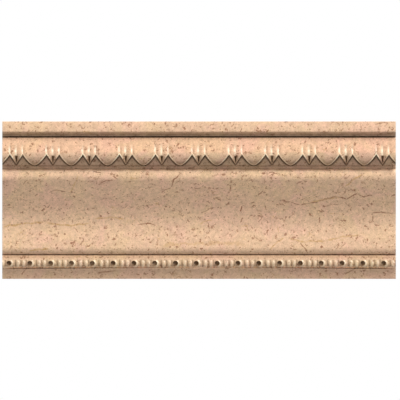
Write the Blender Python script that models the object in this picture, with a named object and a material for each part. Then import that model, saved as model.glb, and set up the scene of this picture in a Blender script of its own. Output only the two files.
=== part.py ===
# Cornice moulding: one length of beige marble cornice, worked as a single piece.
# A plain fillet crowns it. Below come an ovolo carved with eggs and darts, a round
# nose over a long slope and cove, an astragal carved with beads and reels, and a base.
#
# Frame: metres, +Z up. The length runs along X, the carved face looks towards -Y
# and the flat sawn back lies in the plane Y = 0. The origin is the middle of the back.

import math

import bmesh
import bpy
from mathutils import Matrix

MM = 0.001

# Overall size in millimetres. Depths are measured out from the back, heights up from
# the lower edge and stations along the length from its middle. The section and the
# carving are made a little too long and are then cut to the length together.
LENGTH = 300.0
HEIGHT = 120.0
PROJECTION = 55.0
SECTION_OVERRUN = 5.0
CARVING_OVERRUN = 6.0
SHARP_ANGLE = 28.0

# Crowning fillet, its slanting soffit and the quirk under it
ARRIS = 0.5
FILLET_FOOT = 112.2
SOFFIT_DEPTH = 51.1
SOFFIT_FOOT = 109.7
LISTEL_FOOT = 109.0
QUIRK_DEPTH = 45.4

# Ovolo that carries the eggs and darts, and the ground behind them
OVOLO_TOP = 107.7
OVOLO_DEPTH = 50.9
OVOLO_LEAN = 0.7
OVOLO_CENTRE = 97.1
OVOLO_REACH = 13.0
OVOLO_DROP = 10.9
OVOLO_ARRIS = 0.6
GROUND_TOP = 98.4
GROUND_FOOT = 85.7
GROUND_FOOT_DEPTH = 39.2
SHEET_BACK = 30.0

# Thin fillet under the eggs, quirk, and the round nose
THIN_FILLET_DEPTH = 40.2
THIN_FILLET_FOOT = 84.7
NOSE_TOP = 83.5
NOSE_ROOT_DEPTH = 38.6
NOSE_DEPTH = 41.5
NOSE_MIDDLE = 79.7
NOSE_RADIUS = 8.0

# Slope and cove
SLOPE_ANGLE = 40.0
SLOPE_FOOT = 57.5
COVE_FOOT = 35.0
ROLL_TOP = 24.6
ROLL_RADIUS = 6.7
ROLL_ANGLE = 60.0

# Astragal that carries the beads and reels, and the base
ASTRAGAL_QUIRK_DEPTH = 9.6
ASTRAGAL_TOP = 18.0
ASTRAGAL_TOP_DEPTH = 13.4
ASTRAGAL_MIDDLE = 15.8
ASTRAGAL_DEPTH = 14.2
ASTRAGAL_REACH = 5.4
ASTRAGAL_DROP = 7.9
ASTRAGAL_ANGLE = 72.0
BASE_DEPTH = 6.4
BASE_TOP_ANGLE = 34.0
BASE_FOOT_ANGLE = 16.0

# Eggs and darts. The wander is how far each dart, from left to right, stands off its
# even place, because the carving isn't quite regular.
EGG_PITCH = 27.94
DARTS_EACH_SIDE = 5
DART_WANDER = (0.35, 0.35, 0.15, 0.0, -0.5, -0.4, -0.2, -0.35, 0.1, 0.4, 0.1)
EGG_FOOT = 86.5
DART_FOOT = 87.2
NOTCH_HEIGHT = 94.7
NOTCH_OFFSET = 4.9
DART_SWELL = 0.95
EGG_SWELL = 1.6
FLUTE_TOP = 104.3
FLUTE_DEPTH = 0.9
FLUTE_HALF_WIDTH = 1.9
SLOT_TOP = 93.8
SLOT_FOOT = 88.8
SLOT_DEPTH = 1.8
SLOT_HALF_WIDTH = 1.2
LEAF_ROWS = 8
LEAF_BEVEL = 0.8

# Beads and reels
BEAD_PITCH = 15.86
BEAD_SHIFT = -1.0
BEADS_EACH_SIDE = 9
BEAD_HEIGHT = 11.9
BEAD_RADIUS = 3.25
BEAD_CENTRE_DEPTH = 11.9
EYE_RADIUS = 1.5
EYE_SHIFT = -1.3
REEL_OFFSET = 5.85
REEL_HALF_WIDTH = 1.9
REEL_HALF_HEIGHT = 3.0
REEL_HALF_DEPTH = 2.2
REEL_CENTRE_DEPTH = 12.4


def place(station, depth, height):
    """World point in metres of a station, a depth and a height in millimetres."""
    return (station * MM, -depth * MM, (height - HEIGHT / 2) * MM)


def arc(centre, radii, start, end, steps):
    """Points of an elliptic arc in the section, angles in degrees.

    An angle of 0 points straight out from the wall and 90 points up."""
    points = []
    for step in range(steps + 1):
        angle = math.radians(start + (end - start) * step / steps)
        depth = centre[0] + radii[0] * math.cos(angle)
        height = centre[1] + radii[1] * math.sin(angle)
        points.append((depth, height))
    return points


def crown_outline():
    """Top arris, crowning fillet, slanting soffit, listel and quirk, down to the ground."""
    return [
        (0.0, HEIGHT),
        (PROJECTION - ARRIS, HEIGHT),
        (PROJECTION, HEIGHT - ARRIS),
        (PROJECTION, FILLET_FOOT),
        (SOFFIT_DEPTH, SOFFIT_FOOT),
        (SOFFIT_DEPTH, LISTEL_FOOT),
        (QUIRK_DEPTH, LISTEL_FOOT),
        (QUIRK_DEPTH, GROUND_TOP),
    ]


def ground_outline():
    """Flat ground that shows between the eggs, and the thin fillet below it."""
    return [
        (GROUND_FOOT_DEPTH, GROUND_FOOT),
        (THIN_FILLET_DEPTH, GROUND_FOOT),
        (THIN_FILLET_DEPTH, THIN_FILLET_FOOT),
        (NOSE_ROOT_DEPTH, THIN_FILLET_FOOT),
    ]


def nose_and_slope_outline():
    """Round nose that turns down into the straight slope."""
    top_reach = NOSE_DEPTH - NOSE_ROOT_DEPTH
    top_rise = NOSE_TOP - NOSE_MIDDLE
    top = arc((NOSE_ROOT_DEPTH, NOSE_MIDDLE), (top_reach, top_rise), 90, 0, 4)
    turn_centre = (NOSE_DEPTH - NOSE_RADIUS, NOSE_MIDDLE)
    turn = arc(turn_centre, (NOSE_RADIUS, NOSE_RADIUS), 0, -SLOPE_ANGLE, 4)
    return top + turn[1:]


def cove_and_roll_outline():
    """Cove tangent to the slope, its upright foot, and the roll that tucks under."""
    angle = math.radians(SLOPE_ANGLE)
    nose_end_depth = NOSE_DEPTH - NOSE_RADIUS * (1 - math.cos(angle))
    nose_end = NOSE_MIDDLE - NOSE_RADIUS * math.sin(angle)
    cove_depth = nose_end_depth - (nose_end - SLOPE_FOOT) * math.tan(angle)
    cove_radius = (SLOPE_FOOT - COVE_FOOT) / math.sin(angle)
    centre = (cove_depth + cove_radius * math.cos(angle), COVE_FOOT)
    cove = arc(centre, (cove_radius, cove_radius), 180 - SLOPE_ANGLE, 180, 8)
    foot_depth = cove[-1][0]
    roll_centre = (foot_depth - ROLL_RADIUS, ROLL_TOP)
    roll = arc(roll_centre, (ROLL_RADIUS, ROLL_RADIUS), 0, -ROLL_ANGLE, 4)
    return cove + roll + [(ASTRAGAL_QUIRK_DEPTH, roll[-1][1])]


def astragal_and_base_outline():
    """Astragal under its quirk, then the slightly hollow base down to the lower edge."""
    top_radius = ASTRAGAL_DEPTH - ASTRAGAL_TOP_DEPTH
    top_centre = (ASTRAGAL_TOP_DEPTH, ASTRAGAL_TOP - top_radius)
    top = arc(top_centre, (top_radius, top_radius), 90, 0, 2)
    front_centre = (ASTRAGAL_DEPTH - ASTRAGAL_REACH, ASTRAGAL_MIDDLE)
    front = arc(front_centre, (ASTRAGAL_REACH, ASTRAGAL_DROP), 0, -ASTRAGAL_ANGLE, 5)
    rise = math.sin(math.radians(BASE_TOP_ANGLE)) - math.sin(math.radians(BASE_FOOT_ANGLE))
    base_radius = front[-1][1] / rise
    base_centre = (
        BASE_DEPTH + base_radius * math.cos(math.radians(BASE_FOOT_ANGLE)),
        -base_radius * math.sin(math.radians(BASE_FOOT_ANGLE)),
    )
    radii = (base_radius, base_radius)
    base = arc(base_centre, radii, 180 - BASE_TOP_ANGLE, 180 - BASE_FOOT_ANGLE, 3)
    return [(ASTRAGAL_QUIRK_DEPTH, ASTRAGAL_TOP)] + top + front + base[1:] + [(0.0, 0.0)]


def section_outline():
    """Closed outline of the moulding without its carving, as depths and heights."""
    outline = crown_outline() + ground_outline()
    outline += nose_and_slope_outline()
    outline += cove_and_roll_outline()
    outline += astragal_and_base_outline()
    return outline


def link_mesh_object(name, mesh, collection):
    """New object for a mesh, linked to the collection."""
    part = bpy.data.objects.new(name, mesh)
    collection.objects.link(part)
    return part


def mesh_from_bmesh(name, bm):
    """Mesh data from a finished bmesh, with its faces pointing out."""
    bmesh.ops.recalc_face_normals(bm, faces=bm.faces)
    mesh = bpy.data.meshes.new(name)
    bm.to_mesh(mesh)
    bm.free()
    return mesh


def extruded_outline(name, outline, length, collection):
    """Solid of a flat section outline, carried along X for the given length."""
    curve = bpy.data.curves.new(name, "CURVE")
    curve.dimensions = "2D"
    curve.fill_mode = "BOTH"
    curve.extrude = length * MM / 2
    spline = curve.splines.new("POLY")
    spline.points.add(len(outline) - 1)
    for point, (depth, height) in zip(spline.points, outline):
        point.co = (-depth * MM, (height - HEIGHT / 2) * MM, 0.0, 1.0)
    spline.use_cyclic_u = True
    guide = bpy.data.objects.new(name + "_outline", curve)
    # The outline's own X and Y become the world's Y and Z, so it is extruded along X.
    guide.matrix_world = Matrix(((0, 0, 1, 0), (1, 0, 0, 0), (0, 1, 0, 0), (0, 0, 0, 1)))
    collection.objects.link(guide)
    bpy.context.view_layer.update()
    evaluated = guide.evaluated_get(bpy.context.evaluated_depsgraph_get())
    mesh = bpy.data.meshes.new_from_object(evaluated)
    mesh.transform(guide.matrix_world)
    bpy.data.objects.remove(guide)
    bm = bmesh.new()
    bm.from_mesh(mesh)
    bmesh.ops.remove_doubles(bm, verts=bm.verts, dist=0.01 * MM)
    bpy.data.meshes.remove(mesh)
    return link_mesh_object(name, mesh_from_bmesh(name, bm), collection)


def leaf_edge(station):
    """Height of the carved lower edge of the ovolo at a station from a dart's middle.

    The dart's sides rise from its tip to the notches as a power of the distance, and
    so do the eggs' sides from the eggs' middles."""
    offset = abs(station)
    if offset <= NOTCH_OFFSET:
        return DART_FOOT + (NOTCH_HEIGHT - DART_FOOT) * (offset / NOTCH_OFFSET) ** DART_SWELL
    half_pitch = EGG_PITCH / 2
    share = (half_pitch - offset) / (half_pitch - NOTCH_OFFSET)
    return EGG_FOOT + (NOTCH_HEIGHT - EGG_FOOT) * share ** EGG_SWELL


def ovolo_depth(height):
    """Depth of the plain ovolo, which leans back a little above its centre and is a
    quarter of an ellipse below it."""
    lean = OVOLO_LEAN * max(0.0, height - OVOLO_CENTRE) / (OVOLO_TOP - OVOLO_CENTRE)
    drop = max(0.0, OVOLO_CENTRE - height) / OVOLO_DROP
    return OVOLO_DEPTH - lean - OVOLO_REACH * (1 - math.sqrt(1 - drop ** 2))


def flute_depth(station, height):
    """Depth of the flutes up the dart's middle and up from the notches beside it, and
    of the narrow slot in the lower half of the dart."""
    fade = min(1.0, max(0.0, (FLUTE_TOP - height) / (FLUTE_TOP - NOTCH_HEIGHT)))
    offset = abs(station)
    reach = min(offset, abs(offset - NOTCH_OFFSET)) / FLUTE_HALF_WIDTH
    flute = FLUTE_DEPTH * fade * max(0.0, 1 - reach)
    in_slot = SLOT_FOOT < height < SLOT_TOP and offset < SLOT_HALF_WIDTH
    return flute + (SLOT_DEPTH if in_slot else 0.0)


def dart_wander(station):
    """Distance that the carving is off its even place, taken in a straight line from
    each dart to the next."""
    place_in_row = station / EGG_PITCH + DARTS_EACH_SIDE
    place_in_row = min(max(place_in_row, 0.0), 2.0 * DARTS_EACH_SIDE)
    left = min(int(place_in_row), 2 * DARTS_EACH_SIDE - 1)
    share = place_in_row - left
    return DART_WANDER[left] * (1 - share) + DART_WANDER[left + 1] * share


def leaf_columns():
    """Stations of the sheet's columns, close together at the flutes, and each one's
    distance from the middle of its dart."""
    shoulder = NOTCH_OFFSET + FLUTE_HALF_WIDTH
    half_pitch = EGG_PITCH / 2
    steps = [0.0, SLOT_HALF_WIDTH, NOTCH_OFFSET / 2, NOTCH_OFFSET - FLUTE_HALF_WIDTH / 2]
    steps += [NOTCH_OFFSET, shoulder]
    steps += [shoulder + (half_pitch - shoulder) * part / 4 for part in range(1, 4)]
    offsets = [-step for step in reversed(steps[1:])] + steps + [half_pitch]
    columns = []
    for dart in range(-DARTS_EACH_SIDE, DARTS_EACH_SIDE + 1):
        for offset in offsets:
            station = dart * EGG_PITCH + offset
            station += dart_wander(station)
            if abs(station) <= LENGTH / 2 + CARVING_OVERRUN:
                columns.append((station, offset))
    return columns


def leaf_profile(offset):
    """Depth and height of each row of one column, from the ovolo's top to its edge."""
    edge = leaf_edge(offset)
    rows = [(ovolo_depth(OVOLO_TOP) - OVOLO_ARRIS, OVOLO_TOP)]
    top = OVOLO_TOP - OVOLO_ARRIS
    for row in range(LEAF_ROWS + 1):
        height = top + (edge - top) * row / LEAF_ROWS
        rows.append((ovolo_depth(height) - flute_depth(offset, height), height))
    depth, height = rows[-1]
    rows[-1] = (depth, height + LEAF_BEVEL / 2)
    rows.append((depth - LEAF_BEVEL, height))
    return rows


def leaf_sheet(collection):
    """Ovolo with its eggs and darts, as a thick sheet that reaches into the ground."""
    bm = bmesh.new()
    grid = []
    for station, offset in leaf_columns():
        grid.append([bm.verts.new(place(station, *row)) for row in leaf_profile(offset)])
    for left, right in zip(grid, grid[1:]):
        for row in range(len(left) - 1):
            bm.faces.new((left[row], left[row + 1], right[row + 1], right[row]))
    extruded = bmesh.ops.extrude_face_region(bm, geom=bm.faces[:], use_keep_orig=True)
    for item in extruded["geom"]:
        if isinstance(item, bmesh.types.BMVert):
            item.co.y = -SHEET_BACK * MM
    return link_mesh_object("leaf_sheet", mesh_from_bmesh("leaf_sheet", bm), collection)


def ellipsoid(bm, station, depth, height, radii, segments, rings):
    """Add an ellipsoid whose poles lie in front and behind."""
    centre = Matrix.Translation(place(station, depth, height))
    size = Matrix.Diagonal((radii[0] * MM, radii[1] * MM, radii[2] * MM, 1.0))
    turn = Matrix.Rotation(math.radians(90), 4, "X")
    bmesh.ops.create_uvsphere(
        bm, u_segments=segments, v_segments=rings, radius=1.0, matrix=centre @ size @ turn
    )


def bead_stations():
    """Stations of the middles of the beads."""
    beads = range(-BEADS_EACH_SIDE, BEADS_EACH_SIDE + 1)
    return [BEAD_SHIFT + bead * BEAD_PITCH for bead in beads]


def bead_row(collection):
    """Round beads with a pair of narrow reels between each two of them."""
    bm = bmesh.new()
    bead_radii = (BEAD_RADIUS, BEAD_RADIUS, BEAD_RADIUS)
    reel_radii = (REEL_HALF_WIDTH, REEL_HALF_DEPTH, REEL_HALF_HEIGHT)
    for station in bead_stations():
        ellipsoid(bm, station, BEAD_CENTRE_DEPTH, BEAD_HEIGHT, bead_radii, 12, 8)
        for side in (-1, 1):
            reel = station + side * REEL_OFFSET
            ellipsoid(bm, reel, REEL_CENTRE_DEPTH, BEAD_HEIGHT, reel_radii, 8, 6)
    return link_mesh_object("bead_row", mesh_from_bmesh("bead_row", bm), collection)


def bead_eyes(collection):
    """Small dished eye cutters in the front of the beads."""
    bm = bmesh.new()
    radii = (EYE_RADIUS, EYE_RADIUS, EYE_RADIUS)
    front = BEAD_CENTRE_DEPTH + BEAD_RADIUS
    for station in bead_stations():
        ellipsoid(bm, station + EYE_SHIFT, front, BEAD_HEIGHT, radii, 8, 6)
    return link_mesh_object("bead_eyes", mesh_from_bmesh("bead_eyes", bm), collection)


def length_gauge(collection):
    """Box of the true length that cuts both ends square."""
    bm = bmesh.new()
    size = Matrix.Diagonal((LENGTH * MM, 4 * PROJECTION * MM, 2 * HEIGHT * MM, 1.0))
    bmesh.ops.create_cube(bm, size=1.0, matrix=size)
    return link_mesh_object("length_gauge", mesh_from_bmesh("length_gauge", bm), collection)


def add_boolean(part, tool, operation):
    """Exact Boolean with a tool that isn't shown or rendered."""
    modifier = part.modifiers.new(tool.name, "BOOLEAN")
    modifier.operation = operation
    modifier.solver = "EXACT"
    modifier.object = tool
    tool.hide_render = True
    tool.display_type = "WIRE"


def apply_booleans(part):
    """Turn the part and its Booleans into one plain mesh, smooth where it is round."""
    bpy.context.view_layer.update()
    graph = bpy.context.evaluated_depsgraph_get()
    solid = bpy.data.meshes.new_from_object(part.evaluated_get(graph), depsgraph=graph)
    part.modifiers.clear()
    part.data = solid
    solid.shade_smooth()
    solid.set_sharp_from_angle(angle=math.radians(SHARP_ANGLE))


def stone_material():
    """Polished beige marble."""
    material = bpy.data.materials.new("beige_marble")
    material.use_nodes = True
    shader = material.node_tree.nodes["Principled BSDF"]
    shader.inputs["Base Color"].default_value = (0.79, 0.53, 0.34, 1.0)
    shader.inputs["Roughness"].default_value = 0.3
    shader.inputs["Metallic"].default_value = 0.0
    return material


def clear_scene():
    """Remove everything that the scene starts with."""
    for thing in list(bpy.data.objects):
        bpy.data.objects.remove(thing)


def new_collection(name):
    """New collection in the scene."""
    collection = bpy.data.collections.new(name)
    bpy.context.scene.collection.children.link(collection)
    return collection


def build():
    """Build the moulding: the plain section, its carving, and the square ends."""
    clear_scene()
    parts = new_collection("cornice")
    tools = new_collection("cornice_tools")
    run = LENGTH + 2 * SECTION_OVERRUN
    moulding = extruded_outline("cornice_moulding", section_outline(), run, parts)
    add_boolean(moulding, leaf_sheet(tools), "UNION")
    add_boolean(moulding, bead_row(tools), "UNION")
    add_boolean(moulding, bead_eyes(tools), "DIFFERENCE")
    add_boolean(moulding, length_gauge(tools), "INTERSECT")
    apply_booleans(moulding)
    moulding.data.materials.append(stone_material())


build()
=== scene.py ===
"""One length of carved beige marble cornice: its fine shape, its stone and its studio.

The shape is worked out in millimetres. Depths run out from the flat back, heights up from
the lower edge and stations along the length from its middle, as in the solid model. Every
surface is a grid of stations by rows of the section, and the grids are stitched together.
"""

import math

import bpy
import numpy as np
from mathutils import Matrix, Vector


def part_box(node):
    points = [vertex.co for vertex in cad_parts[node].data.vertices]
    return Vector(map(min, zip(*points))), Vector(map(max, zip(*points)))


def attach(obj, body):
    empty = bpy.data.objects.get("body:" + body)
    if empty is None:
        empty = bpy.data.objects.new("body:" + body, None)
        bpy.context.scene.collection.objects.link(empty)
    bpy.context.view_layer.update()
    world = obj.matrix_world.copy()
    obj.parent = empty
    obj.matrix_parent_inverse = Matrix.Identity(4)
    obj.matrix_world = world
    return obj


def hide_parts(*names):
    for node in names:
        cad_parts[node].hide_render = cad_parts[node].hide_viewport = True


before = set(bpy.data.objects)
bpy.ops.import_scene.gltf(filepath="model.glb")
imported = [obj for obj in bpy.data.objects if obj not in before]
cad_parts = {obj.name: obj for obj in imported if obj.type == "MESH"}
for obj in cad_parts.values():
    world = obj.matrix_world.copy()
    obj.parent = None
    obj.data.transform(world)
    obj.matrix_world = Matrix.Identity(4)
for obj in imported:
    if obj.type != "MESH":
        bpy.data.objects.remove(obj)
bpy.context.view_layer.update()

bl_info = {
    "name": "Marble cornice moulding",
    "version": (1, 0, 0),
    "blender": (4, 5, 0),
    "location": "3D View > Sidebar > Cornice",
    "description": "Carved length of beige marble cornice with its stone and its studio",
    "category": "Object",
}

MM = 0.001
NODE_NAME = "cornice_moulding"
PIECE_NAME = "carved_marble_cornice"
STONE_SLOT = "beige_marble"

LOWEST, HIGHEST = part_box(NODE_NAME)
LENGTH = (HIGHEST.x - LOWEST.x) / MM
HEIGHT = (HIGHEST.z - LOWEST.z) / MM
PROJECTION = (HIGHEST.y - LOWEST.y) / MM

# Small eases of the worked edges, and the plain strips at the top and foot of the back
EASE_STEPS = 4
EDGE_EASE = 0.3
FILLET_EASE = 0.35
QUIRK_EASE = 0.15
BACK_EASE = 0.3
BACK_STRIP = 1.0

# Ends: how far they are eased, how far the ease reaches, and the first column inside it
END_EASE = 0.1
END_REACH = 0.25
END_CALM = 1.0

# Points closer than this fall together, and edges that turn more than this stay sharp
TOUCH = 1e-6
SHARP_ANGLE = math.radians(40)

# Steps of the curved stretches
ARC_STEPS = 8
NOSE_STEPS = 10
COVE_STEPS = 16

# Crowning fillet, its slanting soffit and the quirk under it
ARRIS = 0.5
FILLET_FOOT = 112.2
SOFFIT_DEPTH = 51.1
SOFFIT_FOOT = 109.7
LISTEL_FOOT = 109.0
QUIRK_DEPTH = 45.4

# Ovolo that carries the eggs and darts, and the ground behind them. The plain crown ends
# a little above the carving.
OVOLO_TOP = 107.7
OVOLO_DEPTH = 50.9
OVOLO_LEAN = 0.7
OVOLO_CENTRE = 97.1
OVOLO_REACH = 13.0
OVOLO_DROP = 10.9
OVOLO_ARRIS = 0.6
CROWN_FOOT = 106.5
CARVING_TOP = 105.9
GROUND_TOP = 98.4
GROUND_FOOT = 85.9
GROUND_FOOT_DEPTH = 39.2
GROUND_GAP = 0.2

# Thin fillet under the eggs, quirk, and the round nose
THIN_FILLET_DEPTH = 40.2
THIN_FILLET_FOOT = 85.05
NOSE_TOP = 83.9
NOSE_ROOT_DEPTH = 38.6
NOSE_DEPTH = 41.5
NOSE_MIDDLE = 79.7
NOSE_RADIUS = 8.0

# Slope and cove
SLOPE_ANGLE = 40.0
SLOPE_FOOT = 57.5
COVE_FOOT = 35.0
ROLL_TOP = 24.6
ROLL_RADIUS = 6.7
ROLL_ANGLE = 60.0

# Astragal that carries the beads and reels, and the base
ASTRAGAL_QUIRK_DEPTH = 9.6
ASTRAGAL_TOP = 18.0
ASTRAGAL_FACE_FOOT = 16.3
ASTRAGAL_MIDDLE = 15.8
ASTRAGAL_DEPTH = 14.2
ASTRAGAL_ARRIS = 0.8
ASTRAGAL_REACH = 5.4
ASTRAGAL_DROP = 7.9
ASTRAGAL_ANGLE = 66.0
ASTRAGAL_RUN_TOP = 9.75
ASTRAGAL_RUN_FALL = 0.93
BASE_DEPTH = 6.4
BASE_TOP_ANGLE = 38.5
BASE_FOOT_ANGLE = 16.0
# How much the base is darkened, and over what height this fades out at its top
BASE_DARKENING = 0.2
BASE_DARKENING_FADE = 1.5

# Eggs and darts. The wander is how far each dart, from left to right, stands off its
# even place, because the carving isn't quite regular.
EGG_PITCH = 27.94
DARTS_EACH_SIDE = 5
DART_WANDER = (0.35, 0.35, 0.15, 0.0, -0.5, -0.4, -0.2, -0.35, 0.1, 0.4, 0.1)
EGG_FOOT = 86.5
DART_FOOT = 87.2
NOTCH_HEIGHT = 94.7
NOTCH_OFFSET = 4.9
DART_POINT = 0.8
DART_SWELL = 0.95
EGG_SWELL = 1.6
FLUTE_TOP = 104.6
FLUTE_FULL = 97.4
FLUTE_SHIFT = 0.4
FLUTE_LEFT = 2.3
FLUTE_RIGHT = 1.7
FLUTE_LEFT_POWER = 1.5
FLUTE_RIGHT_POWER = 1.15
MIDDLE_FLUTE_SPREAD = 1.35
EDGE_ARRIS = 0.4
LIP_LEFT_SHARE = 0.45
DART_COLUMNS = 14
EGG_COLUMNS = 18
CARVING_ROWS = 26

# Slot down the middle of each dart, and the wider wedge of painted shade and dirt in it and round
# it
SLOT_DEPTH = 1.8
SLOT = {
    "half_width": 1.25,
    "narrowest": 0.05,
    "foot": 88.8,
    "soft_foot": 1.0,
    "top": 93.8,
    "soft_top": 0.7,
}
SLOT_SHADE_AND_DIRT = {
    "half_width": 2.1,
    "narrowest": 0.3,
    "foot": 87.4,
    "soft_foot": 2.0,
    "top": 94.3,
    "soft_top": 1.0,
}

# Beads and reels
BEAD_PITCH = 15.86
BEAD_SHIFT = -1.0
BEAD_HEIGHT = 11.9
BEAD_RADIUS = 3.25
BEAD_CENTRE_DEPTH = 11.9
EYE_SHIFT = -1.1
EYE_RADIUS = 1.7
REEL_OFFSET = 5.85
REEL_HALF_WIDTH = 1.95
REEL_HALF_HEIGHT = 3.05
REEL_HALF_DEPTH = 2.2
REEL_CENTRE_DEPTH = 12.4
BEAD_ROWS = 30
BEAD_COLUMN_STEP = 0.28
CREASE_WIDTH = 0.25
OUTER_FALL = 3.0

# How dark the painted shade and grime are, and how pale the painted highlights and wear, in parts
# of the carving
BELLY_SHADE = 0.36
RIM_SHADE = 0.22
DART_SHADE = 0.42
DARKEST_SLOT_SHADE = 0.85
LIP_WEAR_AND_HIGHLIGHT = 0.42
WALL_HIGHLIGHT = 0.6
GAP_SHADE = 0.6
UNDER_BEAD_SHADE = 0.16
SMEAR_SHADE = 0.5
CRESCENT_HIGHLIGHT = 0.5
RIDGE_HIGHLIGHT = 0.3

# Painted shade and grime of the quirks: depth and height of each inner corner, how far the
# darkening reaches, how dark it is, and the two heights that it stays between
QUIRK_SHADE_AND_GRIME = (
    (QUIRK_DEPTH, LISTEL_FOOT, 3.4, 0.7, OVOLO_TOP, HEIGHT),
    (SOFFIT_DEPTH, LISTEL_FOOT, 3.3, 0.5, OVOLO_TOP, HEIGHT),
    (SOFFIT_DEPTH, SOFFIT_FOOT + 0.4, 0.7, 0.95, OVOLO_TOP, HEIGHT),
    (PROJECTION - 0.4, FILLET_FOOT - 0.2, 0.7, 0.24, OVOLO_TOP, FILLET_FOOT - 0.05),
    (THIN_FILLET_DEPTH, THIN_FILLET_FOOT, 1.0, 0.42, NOSE_TOP, GROUND_FOOT),
    (NOSE_ROOT_DEPTH, NOSE_TOP, 0.9, 0.42, 0.0, HEIGHT),
    (ASTRAGAL_QUIRK_DEPTH, ASTRAGAL_TOP, 3.4, 0.33, 0.0, HEIGHT),
    (ASTRAGAL_DEPTH, ASTRAGAL_TOP + 1, 4.0, 0.17, ASTRAGAL_TOP + 1, HEIGHT),
    (ASTRAGAL_DEPTH, ASTRAGAL_TOP, 1.1, 0.4, 0.0, ASTRAGAL_TOP),
)

# Studio: how far the floor reaches, the lights' distance, the side light's place and width,
# and how bright the soft sky is below, level and above
FLOOR_REACH = 3.0
LIGHT_DISTANCE = 2.0
GLEAM_SIDE = math.radians(52)
GLEAM_HEIGHT = math.radians(6)
GLEAM_SOFTNESS = math.radians(34)
SKY_BELOW = 0.54
SKY_LEVEL = 0.62
SKY_ABOVE = 0.68

# Camera of the picture: straight on, without perspective
VIEW_WIDTH = 0.3048
VIEW_CENTRE = (0.00072, 0.00012)
VIEW_DISTANCE = 1.5

# What the settings of one kind have in common
LENGTH_SETTING = {"unit": "LENGTH", "subtype": "DISTANCE"}
ANGLE_SETTING = {"unit": "ROTATION", "subtype": "ANGLE"}
SHARE_SETTING = {"min": 0.0, "max": 1.0, "subtype": "FACTOR"}
COLOUR_SETTING = {"min": 0.0, "max": 1.0, "subtype": "COLOR", "size": 3}


class CorniceCarving(bpy.types.PropertyGroup):
    """Sizes of the carving that the mason may vary."""

    flute_depth: bpy.props.FloatProperty(
        name="Flute depth",
        description="How deep the flutes between the eggs and the darts are cut",
        default=0.95 * MM,
        **LENGTH_SETTING,
    )
    lip_height: bpy.props.FloatProperty(
        name="Lip height",
        description="How far the narrow lip along the carved edge stands proud",
        default=0.5 * MM,
        **LENGTH_SETTING,
    )
    lip_width: bpy.props.FloatProperty(
        name="Lip width",
        description="Width of the narrow lip along the carved edge",
        default=1.0 * MM,
        **LENGTH_SETTING,
    )
    eye_depth: bpy.props.FloatProperty(
        name="Bead eye depth",
        description="How deep the drilled eye of each bead is",
        default=2.0 * MM,
        **LENGTH_SETTING,
    )


class CorniceStone(bpy.types.PropertyGroup):
    """Colours and polish of the marble."""

    body: bpy.props.FloatVectorProperty(
        name="Body",
        description="Main colour of the stone",
        default=(0.80, 0.53, 0.34),
        **COLOUR_SETTING,
    )
    cream: bpy.props.FloatVectorProperty(
        name="Cream",
        description="Colour of the soft yellowish clouds",
        default=(0.80, 0.542, 0.328),
        **COLOUR_SETTING,
    )
    rose: bpy.props.FloatVectorProperty(
        name="Rose",
        description="Colour of the soft pink clouds",
        default=(0.815, 0.514, 0.348),
        **COLOUR_SETTING,
    )
    speck: bpy.props.FloatVectorProperty(
        name="Speck",
        description="Colour of the small brown specks and fissures",
        default=(0.30, 0.112, 0.045),
        **COLOUR_SETTING,
    )
    vein: bpy.props.FloatVectorProperty(
        name="Vein",
        description="Colour of the yellowish hairline veins",
        default=(0.60, 0.35, 0.13),
        **COLOUR_SETTING,
    )
    # Painted shade in the hollows, and their grime, take this colour
    grime: bpy.props.FloatVectorProperty(
        name="Grime",
        description="Colour of the dirt that sits in the hollows",
        default=(0.10, 0.042, 0.006),
        **COLOUR_SETTING,
    )
    # Painted highlights on the lips, flute walls and beads, and their wear, take this colour
    worn: bpy.props.FloatVectorProperty(
        name="Worn",
        description="Pale colour of the worn lips and flutes of the carving",
        default=(0.98, 0.88, 0.63),
        **COLOUR_SETTING,
    )
    dust: bpy.props.FloatVectorProperty(
        name="Dust",
        description="Colour of the dust on the sawn back, beds and ends",
        default=(0.80, 0.68, 0.55),
        **COLOUR_SETTING,
    )
    polish_roughness: bpy.props.FloatProperty(
        name="Polish roughness",
        description="Roughness of the polished face",
        default=0.27,
        **SHARE_SETTING,
    )
    sawn_roughness: bpy.props.FloatProperty(
        name="Sawn roughness",
        description="Roughness of the sawn back, beds and ends",
        default=0.75,
        **SHARE_SETTING,
    )


class CorniceStudio(bpy.types.PropertyGroup):
    """Light and floor of the studio."""

    key_strength: bpy.props.FloatProperty(
        name="Key strength",
        description="Strength of the soft main light",
        default=2.5,
        min=0.0,
    )
    key_height: bpy.props.FloatProperty(
        name="Key height",
        description="Angle of the main light above the horizon",
        default=math.radians(48),
        **ANGLE_SETTING,
    )
    key_side: bpy.props.FloatProperty(
        name="Key side",
        description="Angle of the main light to the right of straight ahead",
        default=math.radians(28),
        **ANGLE_SETTING,
    )
    key_softness: bpy.props.FloatProperty(
        name="Key softness",
        description="Angle that the main light covers in the sky",
        default=math.radians(20),
        **ANGLE_SETTING,
    )
    gleam_strength: bpy.props.FloatProperty(
        name="Gleam strength",
        description="Strength of the wide side light that only gives the polish highlights",
        default=2.0,
        min=0.0,
    )
    floor: bpy.props.FloatVectorProperty(
        name="Floor",
        description="Colour of the plain floor",
        default=(0.80, 0.79, 0.78),
        **COLOUR_SETTING,
    )


# Section of the moulding


def ellipse_arc(centre, radii, start, end, steps):
    """Points of an elliptic arc of the section: the centre plus the two radii times the
    cosine and the sine of evenly spaced angles. 0 degrees points out, 90 degrees up."""
    angles = np.radians(np.linspace(start, end, steps + 1))
    depth = centre[0] + radii[0] * np.cos(angles)
    height = centre[1] + radii[1] * np.sin(angles)
    return np.stack((depth, height), axis=1)


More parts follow.
